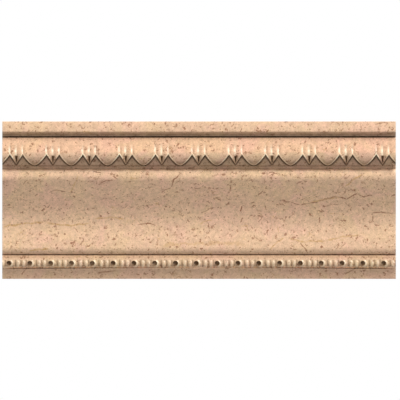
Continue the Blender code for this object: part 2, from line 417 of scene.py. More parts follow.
def eased_path(corners):
    """Straight path with eased corners, each given as depth, height and reach of its ease.

    An ease is the parabola that touches both sides at its reach from the corner: with u
    from 0 to 1, (1 - u)^2 of the first touching point, 2u(1 - u) of the corner and u^2 of
    the last touching point. Points that fall together are left out."""
    spots = np.array(corners, float)[:, :2]
    reach = np.array(corners, float)[:, 2:]
    back = np.roll(spots, 1, axis=0) - spots
    ahead = np.roll(spots, -1, axis=0) - spots
    first = spots + reach * back / np.linalg.norm(back, axis=1, keepdims=True)
    last = spots + reach * ahead / np.linalg.norm(ahead, axis=1, keepdims=True)
    part = np.linspace(0, 1, EASE_STEPS + 1)[None, :, None]
    curve = (1 - part) ** 2 * first[:, None]
    curve = curve + 2 * part * (1 - part) * spots[:, None] + part ** 2 * last[:, None]
    path = curve.reshape(-1, 2)
    apart = np.linalg.norm(np.diff(path, axis=0), axis=1)
    return path[np.append(True, apart > TOUCH)]


def crown_path():
    """Section from the top of the back over the fillet and the quirk to the ovolo's top."""
    return eased_path([
        (0.0, HEIGHT - BACK_STRIP, 0.0),
        (0.0, HEIGHT, BACK_EASE),
        (PROJECTION, HEIGHT, ARRIS),
        (PROJECTION, FILLET_FOOT, FILLET_EASE),
        (SOFFIT_DEPTH, SOFFIT_FOOT, EDGE_EASE),
        (SOFFIT_DEPTH, LISTEL_FOOT, EDGE_EASE),
        (QUIRK_DEPTH, LISTEL_FOOT, EDGE_EASE),
        (QUIRK_DEPTH, OVOLO_TOP, EDGE_EASE),
        (OVOLO_DEPTH - OVOLO_LEAN, OVOLO_TOP, OVOLO_ARRIS),
        (float(ovolo_surface(CROWN_FOOT)[0]), CROWN_FOOT, 0.0),
    ])


def nose_path():
    """Section from the thin fillet round the nose and down to the start of the slope."""
    fillet = eased_path([
        (GROUND_FOOT_DEPTH + GROUND_GAP, GROUND_FOOT, 0.0),
        (THIN_FILLET_DEPTH, GROUND_FOOT, EDGE_EASE),
        (THIN_FILLET_DEPTH, THIN_FILLET_FOOT, EDGE_EASE),
        (NOSE_ROOT_DEPTH, THIN_FILLET_FOOT, EDGE_EASE),
        (NOSE_ROOT_DEPTH, NOSE_TOP, 0.0),
    ])
    top_radii = (NOSE_DEPTH - NOSE_ROOT_DEPTH, NOSE_TOP - NOSE_MIDDLE)
    top = ellipse_arc((NOSE_ROOT_DEPTH, NOSE_MIDDLE), top_radii, 90, 0, NOSE_STEPS)
    turn_centre = (NOSE_DEPTH - NOSE_RADIUS, NOSE_MIDDLE)
    turn = ellipse_arc(turn_centre, (NOSE_RADIUS, NOSE_RADIUS), 0, -SLOPE_ANGLE, ARC_STEPS)
    return np.concatenate((fillet, top[1:], turn[1:]))


def cove_path():
    """Section of the cove, its upright foot, the roll, the quirk and the astragal's top."""
    angle = math.radians(SLOPE_ANGLE)
    nose_end_depth = NOSE_DEPTH - NOSE_RADIUS * (1 - math.cos(angle))
    nose_end = NOSE_MIDDLE - NOSE_RADIUS * math.sin(angle)
    cove_depth = nose_end_depth - (nose_end - SLOPE_FOOT) * math.tan(angle)
    radius = (SLOPE_FOOT - COVE_FOOT) / math.sin(angle)
    centre = (cove_depth + radius * math.cos(angle), COVE_FOOT)
    cove = ellipse_arc(centre, (radius, radius), 180 - SLOPE_ANGLE, 180, COVE_STEPS)
    roll_centre = (cove[-1][0] - ROLL_RADIUS, ROLL_TOP)
    roll = ellipse_arc(roll_centre, (ROLL_RADIUS, ROLL_RADIUS), 0, -ROLL_ANGLE, ARC_STEPS)
    quirk = eased_path([
        (roll[-1][0], roll[-1][1], 0.0),
        (ASTRAGAL_QUIRK_DEPTH, roll[-1][1], QUIRK_EASE),
        (ASTRAGAL_QUIRK_DEPTH, ASTRAGAL_TOP, QUIRK_EASE),
        (ASTRAGAL_DEPTH, ASTRAGAL_TOP, ASTRAGAL_ARRIS),
        (ASTRAGAL_DEPTH, ASTRAGAL_FACE_FOOT, 0.0),
    ])
    return np.concatenate((cove, roll, quirk[1:]))


def astragal_depth(height):
    """Depth of the plain astragal: upright above its middle, an ellipse below it, and at
    its foot a straight run into the base."""
    drop = np.maximum(ASTRAGAL_MIDDLE - height, 0) / ASTRAGAL_DROP
    run_drop = (ASTRAGAL_MIDDLE - ASTRAGAL_RUN_TOP) / ASTRAGAL_DROP
    ellipse = ASTRAGAL_DEPTH - ASTRAGAL_REACH * (1 - np.sqrt(1 - drop ** 2))
    run = ASTRAGAL_DEPTH - ASTRAGAL_REACH * (1 - math.sqrt(1 - run_drop ** 2))
    run = run + ASTRAGAL_RUN_FALL * (height - ASTRAGAL_RUN_TOP)
    return np.where(height < ASTRAGAL_RUN_TOP, run, ellipse)


def astragal_foot():
    """Height where the astragal ends and the base begins."""
    return ASTRAGAL_MIDDLE - ASTRAGAL_DROP * math.sin(math.radians(ASTRAGAL_ANGLE))


def base_path():
    """Section of the slightly hollow base, the lower bed and the foot of the back."""
    top = math.radians(BASE_TOP_ANGLE)
    foot = math.radians(BASE_FOOT_ANGLE)
    radius = astragal_foot() / (math.sin(top) - math.sin(foot))
    centre = (BASE_DEPTH + radius * math.cos(foot), -radius * math.sin(foot))
    angles = (180 - BASE_TOP_ANGLE, 180 - BASE_FOOT_ANGLE)
    hollow = ellipse_arc(centre, (radius, radius), *angles, ARC_STEPS)
    bed = eased_path([
        (hollow[-2][0], hollow[-2][1], 0.0),
        (BASE_DEPTH, 0.0, BACK_EASE),
        (0.0, 0.0, BACK_EASE),
        (0.0, BACK_STRIP, 0.0),
    ])
    return np.concatenate((hollow[1:-2], bed))


# Bands of the surface, each a grid of stations by rows


def end_stations():
    """Stations of the two ends: the end face itself and where its small ease begins."""
    half = LENGTH / 2
    return np.array([-half, END_REACH - half, half - END_REACH, half])


def plain_stations():
    """Stations of a plain stretch. One more near each end keeps the turn of the eased end
    from spreading into the smooth shading of the whole length."""
    calm = LENGTH / 2 - END_CALM
    return np.sort(np.append(end_stations(), (-calm, calm)))


def with_ends(stations):
    """The stations that lie well inside the length, with the ends' own stations added."""
    ends = end_stations()
    inside = stations[(stations > ends[1] + END_EASE) & (stations < ends[2] - END_EASE)]
    return np.sort(np.concatenate((inside, ends)))


def dart_places():
    """Even places of the darts, with one more at each end, and their true places."""
    even = EGG_PITCH * np.arange(-DARTS_EACH_SIDE - 1, DARTS_EACH_SIDE + 2)
    return even, even + np.pad(DART_WANDER, 1, mode="edge")


def egg_stations():
    """Stations of the carving's columns, closer together across the darts, and the signed
    distance of each from the middle of its dart."""
    dart = np.linspace(0, NOTCH_OFFSET, DART_COLUMNS + 1)
    egg = np.linspace(NOTCH_OFFSET, EGG_PITCH / 2, EGG_COLUMNS + 1)[1:]
    half = np.concatenate((dart, egg))
    period = np.concatenate((-half[-2:0:-1], half))
    even, true = dart_places()
    columns = (even[:, None] + period[None, :]).ravel()
    stations = with_ends(np.interp(columns, even, true))
    return stations, distance_from_repeat(np.interp(stations, true, even), 0.0, EGG_PITCH)


def bead_stations():
    """Stations of the astragal's columns, evenly spaced."""
    steps = round(LENGTH / BEAD_COLUMN_STEP)
    return with_ends(np.linspace(-LENGTH / 2, LENGTH / 2, steps + 1))


def distance_from_repeat(stations, shift, pitch):
    """Signed distance of each station from the nearest repeat of a pattern."""
    return (stations - shift + pitch / 2) % pitch - pitch / 2


def scallop_edge(away):
    """Height and steepness of the carved edge at a distance from a dart's middle.

    Out to the notch the dart's side rises as a power of the distance. Beyond it the egg's
    side does the same from the egg's middle. The steepness at the dart's very point is
    taken from a little beside it."""
    share = np.maximum(away, DART_POINT) / NOTCH_OFFSET
    dart_rise = NOTCH_HEIGHT - DART_FOOT
    dart = DART_FOOT + dart_rise * (away / NOTCH_OFFSET) ** DART_SWELL
    dart_slope = DART_SWELL * dart_rise / NOTCH_OFFSET * share ** (DART_SWELL - 1)
    half_egg = EGG_PITCH / 2 - NOTCH_OFFSET
    left = (EGG_PITCH / 2 - away) / half_egg
    left = np.maximum(left, 0)
    egg = EGG_FOOT + (NOTCH_HEIGHT - EGG_FOOT) * left ** EGG_SWELL
    egg_slope = EGG_SWELL * (NOTCH_HEIGHT - EGG_FOOT) / half_egg * left ** (EGG_SWELL - 1)
    in_dart = away <= NOTCH_OFFSET
    return np.where(in_dart, dart, egg), np.where(in_dart, dart_slope, egg_slope)


def ovolo_surface(height):
    """Depth of the plain ovolo and the outward and upward parts of its normal.

    The ovolo leans back a little above its centre, in a straight line, and is a quarter of
    an ellipse below it."""
    lean = np.maximum(height - OVOLO_CENTRE, 0) / (OVOLO_TOP - OVOLO_CENTRE)
    drop = np.maximum(OVOLO_CENTRE - height, 0) / OVOLO_DROP
    rise = np.sqrt(1 - drop ** 2)
    depth = OVOLO_DEPTH - OVOLO_LEAN * lean - OVOLO_REACH * (1 - rise)
    out = rise / OVOLO_REACH
    down = drop / OVOLO_DROP
    size = np.hypot(out, down)
    return depth, out / size, -down / size


def grooves(offset):
    """Cross-sections of the three flutes, side by side in a list: 1 at the crisp bottom,
    falling in nearly straight lines to 0 at the shoulders, as a power of the distance. The
    left side is the wider one, and the middle flute is wider than the others."""
    flutes = []
    for middle, spread in ((-NOTCH_OFFSET, 1.0), (0.0, MIDDLE_FLUTE_SPREAD), (NOTCH_OFFSET, 1.0)):
        shifted = offset - middle - FLUTE_SHIFT
        left = shifted < 0
        width = spread * np.where(left, FLUTE_LEFT, FLUTE_RIGHT)
        flute = np.maximum(1 - np.abs(shifted) / width, 0)
        flutes.append(flute ** np.where(left, FLUTE_LEFT_POWER, FLUTE_RIGHT_POWER))
    return flutes


def smooth_step(value, low, high):
    """0 below low, 1 above high, and an even S-shaped rise between them."""
    part = np.clip((value - low) / (high - low), 0, 1)
    return part * part * (3 - 2 * part)


def ground_depth(height):
    """Depth of the slanting ground behind the eggs."""
    slant = (QUIRK_DEPTH - GROUND_FOOT_DEPTH) / (GROUND_TOP - GROUND_FOOT)
    return GROUND_FOOT_DEPTH + (height - GROUND_FOOT) * slant


def carved_rows(edge, stretch, lip_width):
    """Heights of the carving's rows in each column, and each one's distance from the edge.

    The upper rows divide the plain height evenly. The lip's rows run along the edge, at
    the same distance from it everywhere."""
    lip_rows = lip_width * np.array([1.15, 1.0, 0.85, 0.7, 0.55, 0.4, 0.25, 0.12, 0.0])
    lip_top = edge + lip_rows[0] * stretch
    part = np.linspace(0, 1, CARVING_ROWS, endpoint=False)
    upper = CARVING_TOP + (lip_top - CARVING_TOP)[:, None] * part[None, :]
    lip = edge[:, None] + lip_rows[None, :] * stretch[:, None]
    heights = np.concatenate((upper, lip), axis=1)
    return heights, (heights - edge[:, None]) / stretch[:, None]


def under_rows(edge_depth, edge):
    """Rows under the carved edge: round it, straight back, then down the ground."""
    corner = edge - EDGE_ARRIS
    fall = corner - GROUND_FOOT
    ground = [corner, corner - np.minimum(0.9, 0.4 * fall)]
    ground += [corner - np.minimum(2.2, 0.75 * fall), corner - fall]
    turn = edge - 0.3 * EDGE_ARRIS
    height = np.stack([turn, turn] + ground, axis=1)
    depth = [edge_depth - 0.3, ground_depth(edge) + 0.35]
    depth = np.stack(depth + [ground_depth(row) for row in ground], axis=1)
    # Painted shadow under the carved edge and on the ground below it
    grime = np.array([0.85, 1.0, 1.0, 0.8, 0.25, 0.30])
    return depth, height, np.tile(grime, (len(edge), 1))


def dart_wedge(away, height, half_width, narrowest, foot, soft_foot, top, soft_top):
    """Mask of a wedge down the middle of each dart, 1 in its middle and 0 at its sides.

    Its half width grows evenly from the foot of the slot to its top, from the narrowest
    share of it to the whole. It fades out softly at its own foot and top."""
    taper = (height - SLOT["foot"]) / (SLOT["top"] - SLOT["foot"])
    taper = np.clip(taper, narrowest, 1)
    wedge = np.maximum(1 - away[:, None] / (half_width * taper), 0)
    wedge = wedge * smooth_step(-height, -top, soft_top - top)
    return wedge * smooth_step(height, foot, foot + soft_foot)


def carving_painted_shade(away, height, inward, lip_width):
    """Painted shade of the carving, with some dirt: a dark wedge down each dart, a painted shade
    over the lower part of each dart and under each egg's belly, and a darker painted line there
    just inside the lip."""
    # A dark wedge of painted shade down each dart's slot
    shade_and_dirt = dart_wedge(away, height, **SLOT_SHADE_AND_DIRT)
    drop = np.maximum(OVOLO_CENTRE - height, 0) / OVOLO_DROP
    line = smooth_step(inward, 0.6 * lip_width, lip_width) * smooth_step(-inward, -3.2, -1.2)
    egg_shade = BELLY_SHADE * smooth_step(drop, 0.5, 0.92)
    egg_shade = egg_shade + RIM_SHADE * line * smooth_step(drop, 0.25, 0.6)
    egg_shade = egg_shade * smooth_step(inward, 0.15 * lip_width, 0.7 * lip_width)
    dart_shade = DART_SHADE * smooth_step(-height, -94.5, -90.0)
    in_egg = smooth_step(away, NOTCH_OFFSET, NOTCH_OFFSET + 1.5)[:, None]
    shade = egg_shade * in_egg + dart_shade * (1 - in_egg)
    return np.maximum(np.minimum(1.5 * shade_and_dirt, DARKEST_SLOT_SHADE), shade)


def carving_wear_and_highlights(offset, flutes, height, inward, lip_width, right_side):
    """Wear and painted highlights of the carving: pale lips, more so high up and on the right,
    where the light falls, and painted highlights on the left walls of the flutes, which face the
    light."""
    high = smooth_step(height, EGG_FOOT - 1, NOTCH_HEIGHT)
    lip = LIP_WEAR_AND_HIGHLIGHT * (1 + high) * smooth_step(-inward, -lip_width, -0.5 * lip_width)
    # Painted highlight: paler on the right side of each egg, where the light falls
    lip = lip * (0.45 + 0.7 * right_side)
    middles = (-NOTCH_OFFSET, 0, NOTCH_OFFSET)
    # Painted highlight on the left wall of each flute, which faces the light
    walls = [smooth_step(flute, 0.15, 0.6) * (offset < middle + FLUTE_SHIFT)
             for flute, middle in zip(flutes, middles)]
    return np.maximum(lip, WALL_HIGHLIGHT * np.max(walls, axis=0)[:, None] * flute_fade(height))


def flute_fade(height):
    """1 where the flutes have their full depth, falling softly to 0 at their tops."""
    return smooth_step(-height, -FLUTE_TOP, -FLUTE_FULL)


def egg_and_dart_band(carving):
    """Grid of the carved ovolo and the ground behind it.

    Its depth is the plain ovolo's, less the flutes and the slots of the darts, and the lip
    is pushed out along the ovolo's own normal by a sine arch, further on the right side of
    each egg than on the left."""
    stations, offset = egg_stations()
    away = np.abs(offset)
    edge, slope = scallop_edge(away)
    lip_width = carving.lip_width / MM
    height, inward = carved_rows(edge, np.hypot(1, slope), lip_width)
    depth, out, up = ovolo_surface(height)
    flutes = grooves(offset)
    flute = np.max(flutes, axis=0)[:, None] * flute_fade(height)
    depth = depth - carving.flute_depth / MM * flute
    depth = depth - SLOT_DEPTH * dart_wedge(away, height, **SLOT)
    right_side = 0.5 - 0.5 * np.sin(2 * math.pi * offset / EGG_PITCH)[:, None]
    arch = np.sin(np.clip(inward / lip_width, 0, 1) * math.pi) * carving.lip_height / MM
    arch = arch * (LIP_LEFT_SHARE + (1 - LIP_LEFT_SHARE) * right_side)
    # Painted shade with some grime, and painted highlights with some wear, kept off the dark
    # places
    grime = carving_painted_shade(away, height, inward, lip_width)
    worn = carving_wear_and_highlights(offset, flutes, height, inward, lip_width, right_side)
    worn = worn * (grime < 0.3)
    under = under_rows(depth[:, -1], edge)
    return {
        "stations": stations,
        "depth": np.concatenate((depth + arch * out, under[0]), axis=1),
        "height": np.concatenate((height + arch * up, under[1]), axis=1),
        "grime": np.concatenate((grime, under[2]), axis=1),
        "worn": np.concatenate((worn, np.zeros_like(under[2])), axis=1),
    }


def ball_depth(along, up, centre_depth, radii):
    """Depth of the front of an ellipsoid, falling away steeply beyond its outline.

    Inside the outline it is the centre's depth plus the depth radius times the square root
    of one less the squares of the two distances over their radii."""
    share = (along / radii[0]) ** 2 + (up / radii[2]) ** 2
    front = centre_depth + radii[1] * np.sqrt(np.maximum(1 - share, 0))
    return front - OUTER_FALL * radii[1] * np.maximum(np.sqrt(share) - 1, 0)


def soft_maximum(first, second):
    """The larger of two surfaces, with the crease between them softened by a hyperbola."""
    apart = first - second
    return (first + second + np.sqrt(apart ** 2 + CREASE_WIDTH ** 2) - CREASE_WIDTH) / 2


def bell(distance, reach):
    """Bell curve that is 1 at no distance: e to the minus square of distance over reach."""
    return np.exp(-(distance / reach) ** 2)


def bead_painted_shade(along, up, height):
    """Painted shade of the beads: their dark eyes, a painted shadow below the left of each eye,
    the gaps between beads and reels, and the side under each."""
    from_eye = np.hypot(along - EYE_SHIFT, up)
    eye = 1 - smooth_step(from_eye, 0.9 * EYE_RADIUS, 1.35 * EYE_RADIUS)
    foot = smooth_step(height, astragal_foot() - TOUCH, astragal_foot() + 1.2)
    smear = bell(np.hypot(along - EYE_SHIFT + 0.9, up + 1.1), 1.7)
    beside_bead = np.abs(np.abs(along) - (REEL_OFFSET - REEL_HALF_WIDTH))
    between_reels = np.abs(np.abs(along) - BEAD_PITCH / 2)
    gap = bell(np.minimum(beside_bead, between_reels), 0.45)
    gap = gap * smooth_step(-np.abs(up), -3.4, -2.0)
    under = smooth_step(-up, -2.8, -0.5)
    low = np.maximum(GAP_SHADE * gap, UNDER_BEAD_SHADE * under)
    return np.maximum(eye, np.maximum(low, SMEAR_SHADE * smear) * foot)


def bead_painted_highlights(along, up):
    """Painted highlights of the beads: a pale crescent to the right of each eye, on the side that
    faces the light, and each reel's ridge.
    """
    from_eye = np.hypot(along - EYE_SHIFT, up)
    crescent = CRESCENT_HIGHLIGHT * bell(from_eye - 2.5, 0.8) * smooth_step(along, EYE_SHIFT, 0.8)
    ridge = RIDGE_HIGHLIGHT * bell(np.abs(along) - REEL_OFFSET, 0.8)
    return np.maximum(crescent, ridge) * smooth_step(-np.abs(up), -3.0, -1.8)


def bead_and_reel_band(carving):
    """Grid of the astragal with its beads and reels: the soft maximum of the plain astragal,
    a ball for each bead and an ellipsoid for each reel, less the eye of each bead."""
    stations = bead_stations()
    along = distance_from_repeat(stations, BEAD_SHIFT, BEAD_PITCH)[:, None]
    rows = np.linspace(ASTRAGAL_MIDDLE, astragal_foot(), BEAD_ROWS + 1)
    height = np.tile(rows, (len(stations), 1))
    up = height - BEAD_HEIGHT
    ball_radii = (BEAD_RADIUS, BEAD_RADIUS, BEAD_RADIUS)
    reel_radii = (REEL_HALF_WIDTH, REEL_HALF_DEPTH, REEL_HALF_HEIGHT)
    ball = ball_depth(along, up, BEAD_CENTRE_DEPTH, ball_radii)
    reel = ball_depth(np.abs(along) - REEL_OFFSET, up, REEL_CENTRE_DEPTH, reel_radii)
    depth = soft_maximum(soft_maximum(astragal_depth(height), ball), reel)
    from_eye = np.hypot(along - EYE_SHIFT, up)
    dish = np.sqrt(np.maximum(1 - (from_eye / EYE_RADIUS) ** 2, 0))
    return {
        "stations": stations,
        "depth": depth - carving.eye_depth / MM * dish,
        "height": height,
        # Painted shade of the beads, and their painted highlights
        "grime": bead_painted_shade(along, up, height),
        "worn": bead_painted_highlights(along, up),
    }


def plain_band(path):
    """Grid of a plain stretch of the section, with columns near the ends alone."""
    stations = plain_stations()
    shape = (len(stations), 1)
    return {
        "stations": stations,
        "depth": np.tile(path[:, 0], shape),
        "height": np.tile(path[:, 1], shape),
        "grime": np.zeros((len(stations), len(path))),
        "worn": np.zeros((len(stations), len(path))),
    }


def add_quirk_shade_and_grime(band):
    """Painted shade and grime darken each quirk and fade with the distance from its inner corner.
    """
    for depth, height, reach, strength, lowest, highest in QUIRK_SHADE_AND_GRIME:
        apart = np.hypot(band["depth"] - depth, band["height"] - height)
        within = (band["height"] >= lowest - TOUCH) & (band["height"] <= highest + TOUCH)
        band["grime"] = np.maximum(band["grime"], strength * within * bell(apart, reach))


def add_base_darkening(band):
    """Darkens the worked face of the base evenly, less of it at the top."""
    low = smooth_step(-band["height"], -astragal_foot(), BASE_DARKENING_FADE - astragal_foot())
    low = low * (band["depth"] > BASE_DEPTH)
    band["grime"] = np.maximum(band["grime"], BASE_DARKENING * low)


def add_sawn_mask(band):
    """The beds, the back and the end faces with their eases are sawn: 1 there and 0 on the
    worked face."""
    sawn = (band["height"] >= HEIGHT - TOUCH) | (band["height"] <= TOUCH)
    sawn |= band["depth"] <= TOUCH
    ends = np.abs(band["stations"]) >= LENGTH / 2 - END_REACH - TOUCH
    band["sawn"] = np.maximum(sawn, ends[:, None]).astype(float)


def ease_ends(band):
    """Draw the end faces' own columns in along the section's normal, which is the row
    direction turned a quarter turn outwards."""
    for column in (0, -1):
        depth_step = np.gradient(band["depth"][column])
        height_step = np.gradient(band["height"][column])
        size = np.maximum(np.hypot(depth_step, height_step), TOUCH)
        band["depth"][column] += END_EASE * height_step / size
        band["height"][column] -= END_EASE * depth_step / size


# Mesh of the whole piece

# Place of the beads and reels among the bands, counted from 0
BEAD_BAND = 3


def grid_faces(grid):
    """Four-sided faces between the neighbours of a grid of vertex numbers."""
    corners = (grid[:-1, :-1], grid[:-1, 1:], grid[1:, 1:], grid[1:, :-1])
    return np.stack(corners, axis=-1).reshape(-1, 4).tolist()


def stitch_faces(upper, upper_stations, lower, lower_stations):
    """Triangles between two rows with different stations.

    Each side of one row goes to the vertex of the other row that has as many middles of
    sides before it as the side's own middle has."""
    upper_middles = (upper_stations[1:] + upper_stations[:-1]) / 2
    lower_middles = (lower_stations[1:] + lower_stations[:-1]) / 2
    across = lower[np.searchsorted(lower_middles, upper_middles)]
    down = np.stack((upper[:-1], across, upper[1:]), axis=1)
    across = upper[np.searchsorted(upper_middles, lower_middles, side="right")]
    up = np.stack((across, lower[:-1], lower[1:]), axis=1)
    return np.concatenate((down, up)).tolist()


def cornice_bands(carving):
    """All bands of the section in order, from the top of the back round to its foot."""
    bands = [
        plain_band(crown_path()),
        egg_and_dart_band(carving),
        plain_band(np.concatenate((nose_path(), cove_path()))),
        bead_and_reel_band(carving),
        plain_band(base_path()),
    ]
    for band in bands:
        # Painted shade and grime in the quirks, and the darkening of the base
        add_quirk_shade_and_grime(band)
        add_base_darkening(band)
        add_sawn_mask(band)
        ease_ends(band)
    return bands


def cornice_mesh(carving):
    """Closed mesh of the moulding: the bands, the stitches between them and two ends."""
    bands = cornice_bands(carving)
    points = []
    faces = []
    grids = []
    start = 0
    for band in bands:
        size = band["depth"].size
        grid = np.arange(start, start + size).reshape(band["depth"].shape)
        station = np.repeat(band["stations"][:, None], grid.shape[1], axis=1)
        spots = (station, -band["depth"], band["height"] - HEIGHT / 2)
        points.append(np.stack(spots, axis=-1).reshape(-1, 3) * MM)
        faces += grid_faces(grid)
        grids.append(grid)
        start += size
    for index in range(len(bands) - 1):
        upper = (grids[index][:, -1], bands[index]["stations"])
        lower = (grids[index + 1][:, 0], bands[index + 1]["stations"])
        faces += stitch_faces(*upper, *lower)
    closing = np.stack((grids[-1][:, -1], grids[0][:, 0]), axis=1)
    faces += grid_faces(closing)
    faces.append(np.concatenate([grid[-1] for grid in grids]).tolist())
    faces.append(np.concatenate([grid[0] for grid in grids])[::-1].tolist())
    mesh = bpy.data.meshes.new(PIECE_NAME)
    mesh.from_pydata(np.concatenate(points), [], faces)
    # Masks of painted shade and grime, of the sawn faces, and of painted highlights and wear
    for name in ("grime", "sawn", "worn"):
        values = np.concatenate([band[name].ravel() for band in bands])
        attribute = mesh.attributes.new(name, "FLOAT", "POINT")
        attribute.data.foreach_set("value", values.astype(np.float32))
    smooth_mesh(mesh, grids[BEAD_BAND])
    return mesh


def smooth_mesh(mesh, bead_grid):
    """Smooth shading with sharp edges by angle, except among the beads, where every edge
    is rounded by its own geometry."""
    mesh.shade_smooth()
    mesh.set_sharp_from_angle(angle=SHARP_ANGLE)
    ends = np.zeros(len(mesh.edges) * 2, np.int32)
    mesh.edges.foreach_get("vertices", ends)
    inner = bead_grid[1:-1]
    among_beads = (ends >= inner.min()) & (ends <= inner.max())
    sharp = np.zeros(len(mesh.edges), bool)
    mesh.edges.foreach_get("use_edge_sharp", sharp)
    sharp &= ~among_beads.reshape(-1, 2).all(axis=1)
    mesh.edges.foreach_set("use_edge_sharp", sharp)


# Stone

# Marks of the stone, given one by one: the two ends (station and height), bow and width in
# millimetres, how much it sways, and how strong it is
BROWN_MARKS = [
    ((61.5, 60.0), (77.0, 56.5), 0.0, 0.75, 1.0, 0.88),
    ((77.0, 56.5), (91.0, 59.0), -0.5, 0.75, 1.2, 0.9),
    ((91.0, 59.0), (105.5, 62.2), 0.8, 0.7, 1.2, 0.65),
    ((105.5, 62.2), (112.5, 60.5), 0.3, 0.8, 1.0, 1.0),
    ((112.5, 60.5), (121.0, 64.6), 0.5, 0.8, 1.0, 1.0),
    ((120.5, 64.5), (132.0, 63.5), -0.8, 0.8, 1.0, 0.88),
    ((131.0, 50.0), (148.0, 50.0), 0.8, 0.7, 0.6, 0.81),
    ((77.0, 27.5), (82.5, 21.5), 0.0, 0.8, 0.5, 0.81),
    ((-47.0, 41.0), (-33.5, 41.5), 1.0, 0.8, 0.4, 1.0),
    ((-29.0, 68.5), (-21.5, 69.5), -0.8, 0.7, 0.5, 0.81),
    ((-21.5, 69.5), (-14.0, 80.0), 1.2, 0.8, 0.6, 1.0),
    ((-4.5, 70.0), (2.0, 70.0), -1.4, 0.7, 0.3, 0.81),
    ((0.5, 49.5), (12.0, 54.5), 0.5, 0.7, 0.8, 0.68),
    ((24.0, 72.0), (24.0, 68.0), 0.0, 0.9, 0.2, 1.0),
    ((32.9, 55.9), (31.4, 51.2), 0.2, 0.9, 0.2, 1.0),
    ((32.5, 46.7), (31.4, 42.4), 0.2, 0.9, 0.2, 1.0),
    ((91.5, 47.0), (91.5, 42.5), 0.3, 0.9, 0.2, 1.0),
    ((-115.0, 65.5), (-100.5, 66.0), 1.8, 0.7, 0.5, 0.74),
    ((-77.0, 72.0), (-65.5, 75.5), 0.4, 0.8, 1.0, 0.81),
    ((-81.0, 82.0), (-74.5, 80.5), 0.0, 0.8, 0.3, 0.94),
    ((-95.5, 40.0), (-92.5, 35.0), 0.3, 0.7, 0.3, 0.81),
    ((-94.5, 30.0), (-96.5, 24.5), 0.4, 0.8, 0.2, 0.88),
    ((32.5, 115.0), (31.0, 112.0), 0.0, 0.8, 0.1, 1.0),
    ((-77.5, 4.5), (-64.0, 6.0), 0.3, 0.9, 0.8, 0.81),
    ((133.5, 117.5), (144.5, 118.5), 0.8, 0.7, 0.4, 0.81),
    ((45.0, 64.0), (48.5, 67.5), 0.0, 0.7, 0.2, 0.81),
    ((43.5, 52.0), (48.0, 51.5), 0.2, 0.8, 0.3, 0.81),
    ((111.0, 3.0), (121.0, 8.5), 0.4, 0.8, 0.5, 0.81),
    ((-135.0, 3.0), (-131.0, 8.5), 0.2, 0.8, 0.2, 0.81),
    ((69.5, 5.0), (79.0, 8.5), 0.2, 0.7, 0.4, 0.61),
    ((91.4, 114.3), (91.4, 112.3), 0.0, 0.8, 0.1, 0.9),
    ((-8.0, 84.0), (-3.5, 84.1), 0.1, 0.8, 0.3, 0.8),
    ((-134.5, 71.8), (-131.8, 74.8), 0.0, 0.8, 0.2, 0.8),
    ((-148.5, 74.0), (-148.6, 71.3), 0.0, 0.9, 0.1, 0.8),
    ((34.2, 74.0), (39.7, 77.6), 0.2, 0.7, 0.4, 0.6),
    ((44.9, 43.7), (48.9, 48.5), -0.3, 0.7, 0.3, 0.7),
    ((41.0, 31.8), (47.0, 28.6), 0.4, 0.7, 0.6, 0.5),
    ((17.4, 31.9), (22.4, 36.0), -0.6, 0.7, 0.4, 0.5),
    ((-21.5, 32.6), (-14.8, 33.6), 0.8, 0.7, 0.5, 0.5),
    ((96.5, 54.9), (106.8, 57.2), 0.4, 0.7, 0.5, 0.6),
    ((86.6, 30.6), (87.2, 28.2), 0.0, 0.7, 0.2, 0.6),
    ((78.0, 70.2), (80.2, 67.8), 0.2, 0.8, 0.2, 0.8),
    ((74.0, 72.6), (78.8, 73.6), 0.3, 0.8, 0.5, 0.7),
    ((107.6, 71.8), (112.2, 66.2), 0.6, 0.7, 0.6, 0.5),
    ((106.9, 41.5), (109.4, 39.9), 0.0, 0.9, 0.3, 0.6),
]
# Small dark spots: station, height and size
DARK_SPOTS = [
    (112.7, 51.0, 0.7),
    (112.7, 118.9, 0.6),
    (105.1, 59.4, 0.7),
    (-105.2, 22.4, 0.7),
    (80.7, 88.8, 0.7),
    (118.8, 102.1, 0.9),
    (76.9, 102.8, 0.8),
    (64.0, 102.1, 0.8),
    (-30.4, 102.2, 0.8),
    (-27.3, 103.5, 0.9),
    (-23.9, 104.8, 0.9),
    (-18.8, 101.4, 0.9),
    (24.0, 76.7, 0.6),
    (7.2, 63.7, 0.6),
    (-9.8, 52.3, 0.8),
    (-9.5, 43.6, 0.7),
    (29.3, 48.7, 0.7),
    (29.2, 40.1, 0.7),
    (-102.9, 45.8, 0.9),
    (-117.8, 44.1, 1.2),
    (-54.9, 81.2, 0.9),
    (-56.4, 45.8, 0.8),
    (17.0, 105.5, 0.9),
    (39.3, 95.5, 1.0),
    (37.3, 28.9, 1.1),
    (135.4, 71.6, 0.9),
    (78.4, 44.5, 0.8),
    (65.3, 52.6, 0.9),
    (80.4, 48.1, 0.9),
    (-66.8, 80.2, 1.7),
    (-64.9, 79.7, 1.5),
    (-62.4, 78.7, 1.4),
]
